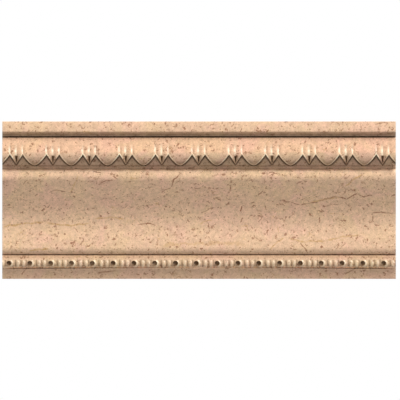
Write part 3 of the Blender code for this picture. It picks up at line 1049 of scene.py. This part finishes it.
# Yellow veins, in the same form as the brown marks
YELLOW_MARKS = [
    ((-150.0, 40.0), (-118.0, 43.0), 0.5, 1.1, 2.0, 0.8),
    ((-118.0, 43.0), (-83.0, 43.0), -2.0, 1.1, 2.0, 0.8),
    ((-80.0, 46.0), (-56.5, 45.5), 1.0, 1.0, 1.2, 0.65),
    ((84.0, 57.8), (105.5, 62.2), 0.6, 1.0, 1.2, 0.6),
    ((111.0, 70.0), (125.0, 80.0), 0.5, 1.0, 1.0, 0.7),
    ((54.0, 22.0), (64.5, 31.5), 0.6, 1.0, 1.0, 0.7),
    ((68.0, 30.5), (96.5, 29.0), -1.2, 1.0, 1.6, 0.7),
    ((96.5, 29.0), (123.5, 33.5), 0.8, 1.1, 1.6, 0.6),
    ((-32.0, 24.5), (38.0, 26.0), 2.0, 2.2, 3.5, 0.4),
    ((0.5, 41.5), (10.0, 45.0), 0.5, 0.9, 0.6, 0.6),
    ((-92.0, 80.0), (-98.5, 65.5), 0.8, 0.9, 1.0, 0.55),
    ((-129.5, 21.0), (-114.5, 22.5), 0.8, 1.2, 1.0, 0.9),
]

# Scattered fissures and wisps: scale of the noise, thickness, how much is left out, strength
FISSURES = [
    (0.5, 0.10, 0.635, 0.52),
    (0.26, 0.06, 0.60, 0.8),
    (0.13, 0.03, 0.59, 0.85),
]
WISPS = (0.045, 0.008, 0.56, 0.5)

# Tints of some members, partly their own colour and partly painted light and shade: lower and
# upper height, and the colour that multiplies the stone's
# The ovolo is pinker; the nose front and the astragal's foot are painted lighter, the astragal's
# top and the beads painted darker
BAND_TINTS_AND_PAINTED_LIGHT = [
    (96.0, OVOLO_TOP, (1.06, 0.99, 0.97)),
    (15.8, ASTRAGAL_TOP, (0.97, 0.92, 0.86)),
    (9.5, 14.5, (0.91, 0.94, 0.90)),
    (8.2, 9.4, (1.26, 1.28, 1.24)),
    (78.6, 82.0, (1.07, 1.07, 1.04)),
]

# How far a mark sways in millimetres, and how strong the spots and specks are
SWAY_REACH = 2.6
SPOT_STRENGTH = 0.8
SPECK_SCALE = 0.42
SPECK_STRENGTH = 0.62

# Where the noise of the rose clouds is taken, well away from that of the cream clouds
ROSE_SHIFT = (310.0, 170.0, 95.0)

# How much of the sawn sides the dust covers, how far the painted shade and grime and the brown
# marks take the polish away, and how deep the saw marks are against the pits
DUST_COVER = 0.35
SHADE_AND_GRIME_DULLNESS = 0.6
MARK_DULLNESS = 0.5
SAW_DEPTH = 0.5
PIT_DEPTH = 0.2 * MM
PIT_STRENGTH = 0.4

STONE_COLOURS = ("Body", "Cream", "Rose", "Speck", "Vein", "Grime", "Worn", "Dust")
MESH_MASKS = ("Grime", "Sawn", "Worn")


def add_node(tree, kind, values=None, **settings):
    """New node with its settings, and each named or numbered input linked or set."""
    new = tree.nodes.new(kind)
    for name, value in settings.items():
        setattr(new, name, value)
    for name, value in (values or {}).items():
        if isinstance(value, bpy.types.NodeSocket):
            tree.links.new(value, new.inputs[name])
        else:
            new.inputs[name].default_value = value
    return new


def maths(tree, operation, *values, clamp=False):
    """Result of one calculation on sockets or numbers."""
    settings = {"operation": operation, "use_clamp": clamp}
    return add_node(tree, "ShaderNodeMath", dict(enumerate(values)), **settings).outputs[0]


def vector_maths(tree, operation, *values):
    """Result of one calculation on vectors."""
    inputs = dict(enumerate(values))
    return add_node(tree, "ShaderNodeVectorMath", inputs, operation=operation).outputs


def soft_range(tree, value, low, high, first=0.0, last=1.0):
    """Smooth rise of a value from first at low to last at high."""
    values = {"Value": value, "From Min": low, "From Max": high, "To Min": first, "To Max": last}
    settings = {"interpolation_type": "SMOOTHSTEP"}
    return add_node(tree, "ShaderNodeMapRange", values, **settings).outputs["Result"]


def mix_colours(tree, factor, first, second, blend="MIX"):
    """Blend of two colours by a factor."""
    values = {0: factor, 6: first, 7: second}
    settings = {"data_type": "RGBA", "blend_type": blend}
    return add_node(tree, "ShaderNodeMix", values, **settings).outputs[2]


def noise(tree, vector, scale, detail=2.0, roughness=0.5, distortion=0.0):
    """Value of a noise texture on coordinates in millimetres."""
    values = {"Vector": vector, "Scale": scale, "Detail": detail}
    values.update({"Roughness": roughness, "Distortion": distortion})
    return add_node(tree, "ShaderNodeTexNoise", values).outputs[0]


def new_group(name, inputs, outputs):
    """Empty shader node group with named sockets, and its input and output nodes."""
    group = bpy.data.node_groups.new(name, "ShaderNodeTree")
    for label, kind in inputs:
        group.interface.new_socket(label, in_out="INPUT", socket_type=kind)
    for label, kind in outputs:
        group.interface.new_socket(label, in_out="OUTPUT", socket_type=kind)
    return group, group.nodes.new("NodeGroupInput"), group.nodes.new("NodeGroupOutput")


def mark_group():
    """Group for one line in the stone, as a mask.

    The spot is turned into distances along and across the line. The mask is strongest near
    the line, with its bow and its sway, falls to 0 within its width, and fades out towards
    both ends."""
    number = "NodeSocketFloat"
    names = ("X", "Z", "Sway", "Centre X", "Centre Z", "Cosine", "Sine", "Half Length")
    names += ("Bow", "Width", "Sway Size", "Strength")
    inputs = [(name, number) for name in names]
    group, given, result = new_group("stone_mark", inputs, [("Mask", number)])
    value = given.outputs
    from_x = maths(group, "SUBTRACT", value["X"], value["Centre X"])
    from_z = maths(group, "SUBTRACT", value["Z"], value["Centre Z"])
    along_x = maths(group, "MULTIPLY", from_x, value["Cosine"])
    along = maths(group, "MULTIPLY_ADD", from_z, value["Sine"], along_x)
    side_x = maths(group, "MULTIPLY", from_x, value["Sine"])
    side_z = maths(group, "MULTIPLY", from_z, value["Cosine"])
    side = maths(group, "SUBTRACT", side_z, side_x)
    share = maths(group, "DIVIDE", along, value["Half Length"])
    hump = maths(group, "SUBTRACT", 1.0, maths(group, "MULTIPLY", share, share))
    bowed = maths(group, "SUBTRACT", side, maths(group, "MULTIPLY", hump, value["Bow"]))
    swayed = maths(group, "MULTIPLY_ADD", value["Sway"], value["Sway Size"], bowed)
    apart = maths(group, "ABSOLUTE", swayed)
    line = soft_range(group, maths(group, "DIVIDE", apart, value["Width"]), 0.2, 0.8, 1.0, 0.0)
    fade = soft_range(group, maths(group, "ABSOLUTE", share), 0.75, 1.05, 1.0, 0.0)
    mask = maths(group, "MULTIPLY", maths(group, "MULTIPLY", line, fade), value["Strength"])
    group.links.new(mask, result.inputs["Mask"])
    return group


def marks_mask(tree, group, flat, sway, marks):
    """Strongest mask of a list of marks."""
    mask = None
    for first, last, bow, width, sway_size, strength in marks:
        run = last[0] - first[0]
        rise = last[1] - first[1]
        length = math.hypot(run, rise)
        mark = add_node(tree, "ShaderNodeGroup", None, node_tree=group)
        tree.links.new(flat["X"], mark.inputs["X"])
        tree.links.new(flat["Z"], mark.inputs["Z"])
        tree.links.new(sway, mark.inputs["Sway"])
        numbers = {
            "Centre X": (first[0] + last[0]) / 2,
            "Centre Z": (first[1] + last[1] - HEIGHT) / 2,
            "Cosine": run / length,
            "Sine": rise / length,
            "Half Length": length / 2,
            "Bow": bow,
            "Width": width,
            "Sway Size": SWAY_REACH * sway_size,
            "Strength": strength,
        }
        for name, value in numbers.items():
            mark.inputs[name].default_value = value
        new = mark.outputs["Mask"]
        mask = new if mask is None else maths(tree, "MAXIMUM", mask, new)
    return mask


def spots_mask(tree, flat, spots):
    """Mask of small round spots, from the least distance to any spot over its size."""
    here = add_node(tree, "ShaderNodeCombineXYZ", {"X": flat["X"], "Z": flat["Z"]}).outputs[0]
    nearest = 1.0
    for station, height, size in spots:
        spot = (station, 0.0, height - HEIGHT / 2)
        apart = vector_maths(tree, "DISTANCE", here, spot)["Value"]
        nearest = maths(tree, "MINIMUM", nearest, maths(tree, "DIVIDE", apart, size))
    return soft_range(tree, nearest, 0.35, 0.75, SPOT_STRENGTH, 0.0)


def cloud_colour(tree, place, colours):
    """Body colour with soft cream and rose clouds and a fine mottle."""
    cream = noise(tree, place, 0.035, detail=3.0, roughness=0.6, distortion=0.6)
    cream = soft_range(tree, cream, 0.44, 0.64)
    colour = mix_colours(tree, cream, colours["Body"], colours["Cream"])
    elsewhere = vector_maths(tree, "ADD", place, ROSE_SHIFT)[0]
    rose = noise(tree, elsewhere, 0.045, detail=3.0, roughness=0.6, distortion=0.5)
    rose = soft_range(tree, rose, 0.47, 0.63)
    colour = mix_colours(tree, rose, colour, colours["Rose"])
    mottle = noise(tree, place, 0.3, detail=4.0, roughness=0.65, distortion=0.4)
    mottle = soft_range(tree, mottle, 0.3, 0.7, 0.88, 1.10)
    grain = noise(tree, place, 1.1, roughness=0.6)
    grain = soft_range(tree, grain, 0.3, 0.7, 0.91, 1.09)
    mottle = maths(tree, "MULTIPLY", mottle, grain)
    tint = add_node(tree, "ShaderNodeCombineColor", {0: mottle, 1: mottle, 2: mottle}).outputs[0]
    return mix_colours(tree, 1.0, colour, tint, "MULTIPLY")


def band_tints_and_painted_light(tree, place, sawn, stone):
    """Colour of the stone, tinted within each band of heights, partly with painted light and
    shade, with soft limits, on the worked face alone."""
    height = add_node(tree, "ShaderNodeSeparateXYZ", {0: place}).outputs["Z"]
    height = maths(tree, "ADD", height, HEIGHT / 2)
    worked = maths(tree, "SUBTRACT", 1.0, sawn)
    for low, high, tint in BAND_TINTS_AND_PAINTED_LIGHT:
        above = soft_range(tree, height, low - 1.5, low + 1.5)
        below = soft_range(tree, height, high - 0.7, high + 0.7, 1.0, 0.0)
        within = maths(tree, "MULTIPLY", maths(tree, "MULTIPLY", above, below), worked)
        stone = mix_colours(tree, within, stone, (*tint, 1.0), "MULTIPLY")
    return stone


def warped_place(tree, place, scale, reach):
    """The coordinates, each pushed about by a noise, which makes even shapes ragged."""
    values = {"Vector": place, "Scale": scale, "Detail": 2.0}
    push = add_node(tree, "ShaderNodeTexNoise", values).outputs["Color"]
    push = vector_maths(tree, "SUBTRACT", push, (0.5, 0.5, 0.5))[0]
    return vector_maths(tree, "MULTIPLY_ADD", push, (reach, reach, reach), place)[0]


def speck_mask(tree, place):
    """Small specks: spots round scattered points, where a patchy noise lets them grow, and
    each with its own chance of being left out."""
    warp = noise(tree, place, 1.1)
    cells = add_node(tree, "ShaderNodeTexVoronoi", {"Vector": place, "Scale": SPECK_SCALE})
    patch = soft_range(tree, noise(tree, place, 0.09), 0.35, 0.7, 0.15, 0.42)
    ragged = maths(tree, "MULTIPLY_ADD", warp, 0.35, cells.outputs["Distance"])
    rim = maths(tree, "SUBTRACT", maths(tree, "ADD", patch, 0.175), ragged)
    chance = add_node(tree, "ShaderNodeSeparateColor", {0: cells.outputs["Color"]}).outputs[0]
    depth = soft_range(tree, chance, 0.55, 1.0)
    return maths(tree, "MULTIPLY", soft_range(tree, rim, 0.0, 0.10), depth)


def fissure_mask(tree, place, scale, thickness, cover, strength):
    """Short curved fissures: where a twisted noise passes its middle value, kept only
    where a second noise is high."""
    value = noise(tree, place, scale, distortion=1.0)
    apart = maths(tree, "ABSOLUTE", maths(tree, "SUBTRACT", value, 0.5))
    line = soft_range(tree, apart, 0.3 * thickness, thickness, strength, 0.0)
    kept = soft_range(tree, noise(tree, place, 1.7 * scale, detail=1.0), cover, cover + 0.06)
    return maths(tree, "MULTIPLY", line, kept)


def yellow_mask(tree, place, flat, marks, sway):
    """Yellow veins: the placed ones and faint wisps between them, here and there thinner."""
    mask = marks_mask(tree, marks, flat, sway, YELLOW_MARKS)
    mask = maths(tree, "MAXIMUM", mask, fissure_mask(tree, place, *WISPS))
    thinned = soft_range(tree, noise(tree, place, 0.45, detail=3.0), 0.35, 0.6, 0.5, 1.1)
    return maths(tree, "MULTIPLY", mask, thinned)


def brown_mask(tree, place, flat, marks, sway):
    """Brown marks: the placed fissures and spots, here and there paler, then the scattered
    fissures and specks."""
    mask = marks_mask(tree, marks, flat, sway, BROWN_MARKS)
    mask = maths(tree, "MAXIMUM", mask, spots_mask(tree, flat, DARK_SPOTS))
    breaks = soft_range(tree, noise(tree, place, 0.7), 0.38, 0.55, 0.6, 1.0)
    mask = maths(tree, "MULTIPLY", mask, breaks)
    ragged = warped_place(tree, place, 0.5, 1.3)
    for fissures in FISSURES:
        mask = maths(tree, "MAXIMUM", mask, fissure_mask(tree, ragged, *fissures))
    specks = maths(tree, "MULTIPLY", speck_mask(tree, ragged), SPECK_STRENGTH)
    return maths(tree, "MAXIMUM", mask, specks)


def patchy_mask(tree, place, mask, scale, detail, low, least):
    """A mask of the mesh, weakened to its least share where a noise is low."""
    patches = noise(tree, place, scale, detail)
    share = soft_range(tree, patches, low, 0.6, least, 1.05)
    return maths(tree, "MULTIPLY", mask, share, clamp=True)


def marble_group():
    """Group with the whole pattern of the stone: its colour, its roughness and the height of
    its small pits and saw marks."""
    colour = "NodeSocketColor"
    number = "NodeSocketFloat"
    inputs = [(name, colour) for name in STONE_COLOURS]
    inputs += [(name + " Mask", number) for name in MESH_MASKS]
    inputs += [("Polish Roughness", number), ("Sawn Roughness", number)]
    outputs = [("Colour", colour), ("Roughness", number), ("Height", number)]
    group, given, result = new_group("marble_pattern", inputs, outputs)
    value = given.outputs
    sawn = value["Sawn Mask"]
    spot = add_node(group, "ShaderNodeTexCoord").outputs["Object"]
    place = add_node(group, "ShaderNodeVectorMath", {0: spot, "Scale": 1 / MM}, operation="SCALE")
    place = place.outputs[0]
    flat = add_node(group, "ShaderNodeSeparateXYZ", {0: warped_place(group, place, 0.22, 2.6)})
    marks = mark_group()
    sway = noise(group, place, 0.16, detail=4.0, roughness=0.65)
    sway = maths(group, "SUBTRACT", sway, 0.5)
    yellow = yellow_mask(group, place, flat.outputs, marks, sway)
    brown = brown_mask(group, place, flat.outputs, marks, sway)
    worn = patchy_mask(group, place, value["Worn Mask"], 0.35, 2.0, 0.35, 0.45)
    shade_and_grime_patches = patchy_mask(group, place, value["Grime Mask"], 0.25, 3.0, 0.3, 0.8)
    dusty = maths(group, "MULTIPLY", sawn, DUST_COVER)
    # Painted light and shade by bands of height, then the veins, marks, painted highlights and
    # wear, painted shade and grime, and dust
    stone = band_tints_and_painted_light(group, place, sawn, cloud_colour(group, place, value))
    layers = {"Vein": yellow, "Speck": brown, "Worn": worn, "Grime": shade_and_grime_patches, "Dust": dusty}
    for name, mask in layers.items():
        stone = mix_colours(group, mask, stone, value[name])
    group.links.new(stone, result.inputs["Colour"])
    dull = maths(group, "MAXIMUM", sawn, maths(group, "MULTIPLY", shade_and_grime_patches, SHADE_AND_GRIME_DULLNESS))
    dull = maths(group, "MAXIMUM", dull, maths(group, "MULTIPLY", brown, MARK_DULLNESS))
    span = maths(group, "SUBTRACT", value["Sawn Roughness"], value["Polish Roughness"])
    rough = maths(group, "MULTIPLY_ADD", dull, span, value["Polish Roughness"])
    group.links.new(rough, result.inputs["Roughness"])
    saw = maths(group, "MULTIPLY", noise(group, place, 1.5), sawn)
    saw = maths(group, "MULTIPLY", saw, SAW_DEPTH)
    group.links.new(maths(group, "SUBTRACT", saw, brown), result.inputs["Height"])
    return group


def marble_material(stone):
    """Polished beige marble with sawn sides."""
    material = bpy.data.materials.new(STONE_SLOT)
    material.use_nodes = True
    tree = material.node_tree
    shader = tree.nodes["Principled BSDF"]
    pattern = add_node(tree, "ShaderNodeGroup", None, node_tree=marble_group())
    for name in STONE_COLOURS:
        pattern.inputs[name].default_value = (*getattr(stone, name.lower()), 1.0)
    pattern.inputs["Polish Roughness"].default_value = stone.polish_roughness
    pattern.inputs["Sawn Roughness"].default_value = stone.sawn_roughness
    for name in MESH_MASKS:
        mask = add_node(tree, "ShaderNodeAttribute", None, attribute_name=name.lower())
        tree.links.new(mask.outputs["Fac"], pattern.inputs[name + " Mask"])
    tree.links.new(pattern.outputs["Colour"], shader.inputs["Base Color"])
    tree.links.new(pattern.outputs["Roughness"], shader.inputs["Roughness"])
    pits = {"Height": pattern.outputs["Height"], "Strength": PIT_STRENGTH, "Distance": PIT_DEPTH}
    bump = add_node(tree, "ShaderNodeBump", pits)
    tree.links.new(bump.outputs["Normal"], shader.inputs["Normal"])
    return material


# Studio


def pale_floor(colour):
    """Large plain floor under the moulding, hidden from the light that it would bounce."""
    corners = [(-1, -1), (1, -1), (1, 1), (-1, 1)]
    corners = [(FLOOR_REACH * x, FLOOR_REACH * y, LOWEST.z) for x, y in corners]
    mesh = bpy.data.meshes.new("studio_floor")
    mesh.from_pydata(corners, [], [(0, 1, 2, 3)])
    floor = bpy.data.objects.new("studio_floor", mesh)
    bpy.context.scene.collection.objects.link(floor)
    material = bpy.data.materials.new("floor_paint")
    material.use_nodes = True
    shader = material.node_tree.nodes["Principled BSDF"]
    shader.inputs["Base Color"].default_value = (*colour, 1.0)
    shader.inputs["Roughness"].default_value = 0.9
    mesh.materials.append(material)
    floor.visible_diffuse = False
    floor.visible_glossy = False
    return floor


def direction(side, height):
    """Unit vector towards a light, from its angle to the right and its angle up."""
    flat = math.cos(height)
    return Vector((flat * math.sin(side), -flat * math.cos(side), math.sin(height)))


def add_sun(name, towards, strength, softness):
    """New soft light in a direction, aimed at the moulding."""
    light = bpy.data.objects.new(name, bpy.data.lights.new(name, "SUN"))
    light.location = towards * LIGHT_DISTANCE
    light.rotation_euler = towards.to_track_quat("Z", "Y").to_euler()
    light.data.energy = strength
    light.data.angle = softness
    bpy.context.scene.collection.objects.link(light)
    return light


def studio_lights(studio):
    """Soft main light from the upper right, and a wide side light for the highlights."""
    towards = direction(studio.key_side, studio.key_height)
    add_sun("key", towards, studio.key_strength, studio.key_softness)
    towards = direction(GLEAM_SIDE, GLEAM_HEIGHT)
    gleam = add_sun("gleam", towards, studio.gleam_strength, GLEAM_SOFTNESS)
    gleam.visible_diffuse = False


def grey(brightness):
    """Grey of a brightness, as red, green, blue and alpha."""
    return (brightness, brightness, brightness, 1.0)


def studio_world():
    """White to the camera, and a soft sky for the light: dim below and brighter above."""
    world = bpy.data.worlds.new("studio")
    world.use_nodes = True
    tree = world.node_tree
    tree.nodes.clear()
    way = add_node(tree, "ShaderNodeTexCoord").outputs["Generated"]
    up = add_node(tree, "ShaderNodeSeparateXYZ", {0: way}).outputs[2]
    ramp = add_node(tree, "ShaderNodeValToRGB", {0: maths(tree, "MULTIPLY_ADD", up, 0.5, 0.5)})
    stops = ramp.color_ramp.elements
    stops[0].color = grey(SKY_BELOW)
    stops[1].color = grey(SKY_ABOVE)
    stops.new(0.5).color = grey(SKY_LEVEL)
    sky = add_node(tree, "ShaderNodeBackground", {"Color": ramp.outputs[0]})
    white = add_node(tree, "ShaderNodeBackground", {"Color": grey(1.0)})
    seen = add_node(tree, "ShaderNodeLightPath").outputs["Is Camera Ray"]
    mixed = add_node(tree, "ShaderNodeMixShader", {0: seen})
    tree.links.new(sky.outputs[0], mixed.inputs[1])
    tree.links.new(white.outputs[0], mixed.inputs[2])
    out = add_node(tree, "ShaderNodeOutputWorld")
    tree.links.new(mixed.outputs[0], out.inputs["Surface"])
    bpy.context.scene.world = world


def straight_camera():
    """Camera straight in front of the moulding, without perspective."""
    camera = bpy.data.objects.new("camera", bpy.data.cameras.new("camera"))
    camera.data.type = "ORTHO"
    camera.data.ortho_scale = VIEW_WIDTH
    camera.location = (VIEW_CENTRE[0], -VIEW_DISTANCE, VIEW_CENTRE[1])
    camera.rotation_euler = (math.radians(90), 0.0, 0.0)
    bpy.context.scene.collection.objects.link(camera)
    bpy.context.scene.camera = camera


class CORNICE_OT_moulding(bpy.types.Operator):
    """Build the carved length of cornice in its polished marble"""

    bl_idname = "cornice.moulding"
    bl_label = "Carved cornice"

    def execute(self, context):
        mesh = cornice_mesh(context.scene.cornice_carving)
        mesh.materials.append(marble_material(context.scene.cornice_stone))
        piece = bpy.data.objects.new(PIECE_NAME, mesh)
        context.scene.collection.objects.link(piece)
        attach(piece, "root")
        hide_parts(NODE_NAME)
        return {"FINISHED"}


class CORNICE_OT_studio(bpy.types.Operator):
    """Set up the floor, the lights, the sky and the camera"""

    bl_idname = "cornice.studio"
    bl_label = "Studio"

    def execute(self, context):
        studio = context.scene.cornice_studio
        pale_floor(studio.floor)
        studio_lights(studio)
        studio_world()
        straight_camera()
        context.scene.view_settings.view_transform = "Standard"
        return {"FINISHED"}


class CORNICE_PT_panel(bpy.types.Panel):
    """Panel with the sizes, the colours and the two steps."""

    bl_idname = "CORNICE_PT_panel"
    bl_label = "Marble cornice"
    bl_space_type = "VIEW_3D"
    bl_region_type = "UI"
    bl_category = "Cornice"

    def draw(self, context):
        for group in GROUPS:
            settings = getattr(context.scene, group)
            for name in settings.bl_rna.properties.keys():
                if name not in ("rna_type", "name"):
                    self.layout.prop(settings, name)
        self.layout.operator(CORNICE_OT_moulding.bl_idname)
        self.layout.operator(CORNICE_OT_studio.bl_idname)


GROUPS = {
    "cornice_carving": CorniceCarving,
    "cornice_stone": CorniceStone,
    "cornice_studio": CorniceStudio,
}
CLASSES = tuple(GROUPS.values()) + (CORNICE_OT_moulding, CORNICE_OT_studio, CORNICE_PT_panel)


def register():
    """Register the classes and hang each group of settings on the scene."""
    for item in CLASSES:
        bpy.utils.register_class(item)
    for name, group in GROUPS.items():
        setattr(bpy.types.Scene, name, bpy.props.PointerProperty(type=group))


def unregister():
    """Take everything back off Blender, in the opposite order."""
    for name in GROUPS:
        delattr(bpy.types.Scene, name)
    for item in reversed(CLASSES):
        bpy.utils.unregister_class(item)


def main():
    """Build everything."""
    register()
    bpy.ops.cornice.moulding()
    bpy.ops.cornice.studio()


if __name__ == "__main__":
    main()
